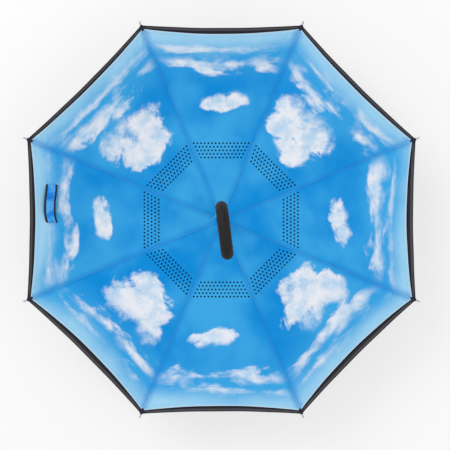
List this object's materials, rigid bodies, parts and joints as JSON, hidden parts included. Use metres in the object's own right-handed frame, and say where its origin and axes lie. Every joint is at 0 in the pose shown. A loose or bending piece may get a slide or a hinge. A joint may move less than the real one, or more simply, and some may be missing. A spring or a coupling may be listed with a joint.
{
  "type": "inverted umbrella",
  "caption": "reverse-folding double-layer umbrella with a C-shaped hands-free handle, sky-print lining and vented panels, shown open with its crown down",
  "frame": {"origin": "on the shaft's axis, at the middle height of the C handle, where a hand holds it", "axes": "+Z runs along the shaft from the crown to the handle, as pictured with the crown down; the C handle's mouth faces about -Y, and +X completes the frame"},
  "size_m": [0.9904, 0.9904, 0.7548],
  "materials": {
    "plated_steel": "satin plated",
    "black_plastic": "matte moulded",
    "grey_plastic": "matte moulded",
    "fibreglass": "drawn rod",
    "black_cloth": "woven, matte",
    "sky_cloth": "woven print of sky and clouds"
  },
  "bodies": {
    "frame": {"shaft_tube": "plated_steel", "c_handle": "black_plastic", "handle_collar": "plated_steel", "open_stop_ring": "plated_steel", "crown_hub": "black_plastic", "crown_hub_pin": "plated_steel", "crown_pivot_wire": "plated_steel", "crown_washer": "black_plastic", "crown_cap": "black_plastic", "outer_canopy": "black_cloth"},
    "runner": {"runner": "black_plastic", "runner_pivot_wire": "plated_steel", "canopy_clamp_ring": "black_plastic", "button_spring": "plated_steel", "inner_canopy": "sky_cloth", "closing_strap": "sky_cloth"},
    "button": {"release_button": "grey_plastic"},
    "link_1": {"link_1": "plated_steel"},
    "rib_1": {"rib_channel_1": "plated_steel", "joint_bracket_1": "black_plastic"},
    "rod_1": {"rod_1": "fibreglass", "tip_1": "plated_steel"},
    "link_2": {"link_2": "plated_steel"},
    "rib_2": {"rib_channel_2": "plated_steel", "joint_bracket_2": "black_plastic"},
    "rod_2": {"rod_2": "fibreglass", "tip_2": "plated_steel"},
    "link_3": {"link_3": "plated_steel"},
    "rib_3": {"rib_channel_3": "plated_steel", "joint_bracket_3": "black_plastic"},
    "rod_3": {"rod_3": "fibreglass", "tip_3": "plated_steel"},
    "link_4": {"link_4": "plated_steel"},
    "rib_4": {"rib_channel_4": "plated_steel", "joint_bracket_4": "black_plastic"},
    "rod_4": {"rod_4": "fibreglass", "tip_4": "plated_steel"},
    "link_5": {"link_5": "plated_steel"},
    "rib_5": {"rib_channel_5": "plated_steel", "joint_bracket_5": "black_plastic"},
    "rod_5": {"rod_5": "fibreglass", "tip_5": "plated_steel"},
    "link_6": {"link_6": "plated_steel"},
    "rib_6": {"rib_channel_6": "plated_steel", "joint_bracket_6": "black_plastic"},
    "rod_6": {"rod_6": "fibreglass", "tip_6": "plated_steel"},
    "link_7": {"link_7": "plated_steel"},
    "rib_7": {"rib_channel_7": "plated_steel", "joint_bracket_7": "black_plastic"},
    "rod_7": {"rod_7": "fibreglass", "tip_7": "plated_steel"},
    "link_8": {"link_8": "plated_steel"},
    "rib_8": {"rib_channel_8": "plated_steel", "joint_bracket_8": "black_plastic"},
    "rod_8": {"rod_8": "fibreglass", "tip_8": "plated_steel"}
  },
  "joints": [
    {"name": "runner_slide", "type": "slide", "parent": "frame", "child": "runner", "axis": [0, 0, 1], "range_m": [0, 0.47346], "deforming": ["outer_canopy", "inner_canopy", "closing_strap"]},
    {"name": "button_press", "type": "slide", "parent": "runner", "child": "button", "axis": [-1, 0, 0], "range_m": [0, 0.0018], "stiffness_N_per_m": 400, "deforming": ["button_spring"]},
    {"name": "link_fold_1", "type": "hinge", "parent": "frame", "child": "link_1", "pos_m": [0.00933, 0.00884, -0.66626], "axis": [0.3827, -0.9239, 0], "range_deg": [-0.05, 68.45]},
    {"name": "rib_fold_1", "type": "hinge", "parent": "runner", "child": "rib_1", "pos_m": [0.01386, 0.00574, -0.60626], "axis": [-0.3827, 0.9239, 0], "range_deg": [-0.05, 94.71]},
    {"name": "rod_flex_1", "type": "hinge", "parent": "rib_1", "child": "rod_1", "pos_m": [0.25129, 0.10409, -0.57626], "axis": [-0.3827, 0.9239, 0], "range_deg": [-0.05, 17.77]},
    {"name": "link_fold_2", "type": "hinge", "parent": "frame", "child": "link_2", "pos_m": [0.00034, 0.01285, -0.66626], "axis": [0.9239, -0.3827, 0], "range_deg": [-0.05, 68.45]},
    {"name": "rib_fold_2", "type": "hinge", "parent": "runner", "child": "rib_2", "pos_m": [0.00574, 0.01386, -0.60626], "axis": [-0.9239, 0.3827, 0], "range_deg": [-0.05, 94.71]},
    {"name": "rod_flex_2", "type": "hinge", "parent": "rib_2", "child": "rod_2", "pos_m": [0.10409, 0.25129, -0.57626], "axis": [-0.9239, 0.3827, 0], "range_deg": [-0.05, 17.77]},
    {"name": "link_fold_3", "type": "hinge", "parent": "frame", "child": "link_3", "pos_m": [-0.00884, 0.00933, -0.66626], "axis": [0.9239, 0.3827, 0], "range_deg": [-0.05, 68.45]},
    {"name": "rib_fold_3", "type": "hinge", "parent": "runner", "child": "rib_3", "pos_m": [-0.00574, 0.01386, -0.60626], "axis": [-0.9239, -0.3827, 0], "range_deg": [-0.05, 94.71]},
    {"name": "rod_flex_3", "type": "hinge", "parent": "rib_3", "child": "rod_3", "pos_m": [-0.10409, 0.25129, -0.57626], "axis": [-0.9239, -0.3827, 0], "range_deg": [-0.05, 17.77]},
    {"name": "link_fold_4", "type": "hinge", "parent": "frame", "child": "link_4", "pos_m": [-0.01285, 0.00034, -0.66626], "axis": [0.3827, 0.9239, 0], "range_deg": [-0.05, 68.45]},
    {"name": "rib_fold_4", "type": "hinge", "parent": "runner", "child": "rib_4", "pos_m": [-0.01386, 0.00574, -0.60626], "axis": [-0.3827, -0.9239, 0], "range_deg": [-0.05, 94.71]},
    {"name": "rod_flex_4", "type": "hinge", "parent": "rib_4", "child": "rod_4", "pos_m": [-0.25129, 0.10409, -0.57626], "axis": [-0.3827, -0.9239, 0], "range_deg": [-0.05, 17.77]},
    {"name": "link_fold_5", "type": "hinge", "parent": "frame", "child": "link_5", "pos_m": [-0.00933, -0.00884, -0.66626], "axis": [-0.3827, 0.9239, 0], "range_deg": [-0.05, 68.45]},
    {"name": "rib_fold_5", "type": "hinge", "parent": "runner", "child": "rib_5", "pos_m": [-0.01386, -0.00574, -0.60626], "axis": [0.3827, -0.9239, 0], "range_deg": [-0.05, 94.71]},
    {"name": "rod_flex_5", "type": "hinge", "parent": "rib_5", "child": "rod_5", "pos_m": [-0.25129, -0.10409, -0.57626], "axis": [0.3827, -0.9239, 0], "range_deg": [-0.05, 17.77]},
    {"name": "link_fold_6", "type": "hinge", "parent": "frame", "child": "link_6", "pos_m": [-0.00034, -0.01285, -0.66626], "axis": [-0.9239, 0.3827, 0], "range_deg": [-0.05, 68.45]},
    {"name": "rib_fold_6", "type": "hinge", "parent": "runner", "child": "rib_6", "pos_m": [-0.00574, -0.01386, -0.60626], "axis": [0.9239, -0.3827, 0], "range_deg": [-0.05, 94.71]},
    {"name": "rod_flex_6", "type": "hinge", "parent": "rib_6", "child": "rod_6", "pos_m": [-0.10409, -0.25129, -0.57626], "axis": [0.9239, -0.3827, 0], "range_deg": [-0.05, 17.77]},
    {"name": "link_fold_7", "type": "hinge", "parent": "frame", "child": "link_7", "pos_m": [0.00884, -0.00933, -0.66626], "axis": [-0.9239, -0.3827, 0], "range_deg": [-0.05, 68.45]},
    {"name": "rib_fold_7", "type": "hinge", "parent": "runner", "child": "rib_7", "pos_m": [0.00574, -0.01386, -0.60626], "axis": [0.9239, 0.3827, 0], "range_deg": [-0.05, 94.71]},
    {"name": "rod_flex_7", "type": "hinge", "parent": "rib_7", "child": "rod_7", "pos_m": [0.10409, -0.25129, -0.57626], "axis": [0.9239, 0.3827, 0], "range_deg": [-0.05, 17.77]},
    {"name": "link_fold_8", "type": "hinge", "parent": "frame", "child": "link_8", "pos_m": [0.01285, -0.00034, -0.66626], "axis": [-0.3827, -0.9239, 0], "range_deg": [-0.05, 68.45]},
    {"name": "rib_fold_8", "type": "hinge", "parent": "runner", "child": "rib_8", "pos_m": [0.01386, -0.00574, -0.60626], "axis": [0.3827, 0.9239, 0], "range_deg": [-0.05, 94.71]},
    {"name": "rod_flex_8", "type": "hinge", "parent": "rib_8", "child": "rod_8", "pos_m": [0.25129, -0.10409, -0.57626], "axis": [0.3827, 0.9239, 0], "range_deg": [-0.05, 17.77]}
  ],
  "couplings": [
    {"joint": "link_fold_1", "follows": "runner_slide", "rad_per_m": 2.5215},
    {"joint": "rib_fold_1", "follows": "runner_slide", "rad_per_m": 3.4894},
    {"joint": "rod_flex_1", "follows": "runner_slide", "rad_per_m": 0.65312},
    {"joint": "link_fold_2", "follows": "runner_slide", "rad_per_m": 2.5215},
    {"joint": "rib_fold_2", "follows": "runner_slide", "rad_per_m": 3.4894},
    {"joint": "rod_flex_2", "follows": "runner_slide", "rad_per_m": 0.65312},
    {"joint": "link_fold_3", "follows": "runner_slide", "rad_per_m": 2.5215},
    {"joint": "rib_fold_3", "follows": "runner_slide", "rad_per_m": 3.4894},
    {"joint": "rod_flex_3", "follows": "runner_slide", "rad_per_m": 0.65312},
    {"joint": "link_fold_4", "follows": "runner_slide", "rad_per_m": 2.5215},
    {"joint": "rib_fold_4", "follows": "runner_slide", "rad_per_m": 3.4894},
    {"joint": "rod_flex_4", "follows": "runner_slide", "rad_per_m": 0.65312},
    {"joint": "link_fold_5", "follows": "runner_slide", "rad_per_m": 2.5215},
    {"joint": "rib_fold_5", "follows": "runner_slide", "rad_per_m": 3.4894},
    {"joint": "rod_flex_5", "follows": "runner_slide", "rad_per_m": 0.65312},
    {"joint": "link_fold_6", "follows": "runner_slide", "rad_per_m": 2.5215},
    {"joint": "rib_fold_6", "follows": "runner_slide", "rad_per_m": 3.4894},
    {"joint": "rod_flex_6", "follows": "runner_slide", "rad_per_m": 0.65312},
    {"joint": "link_fold_7", "follows": "runner_slide", "rad_per_m": 2.5215},
    {"joint": "rib_fold_7", "follows": "runner_slide", "rad_per_m": 3.4894},
    {"joint": "rod_flex_7", "follows": "runner_slide", "rad_per_m": 0.65312},
    {"joint": "link_fold_8", "follows": "runner_slide", "rad_per_m": 2.5215},
    {"joint": "rib_fold_8", "follows": "runner_slide", "rad_per_m": 3.4894},
    {"joint": "rod_flex_8", "follows": "runner_slide", "rad_per_m": 0.65312}
  ]
}
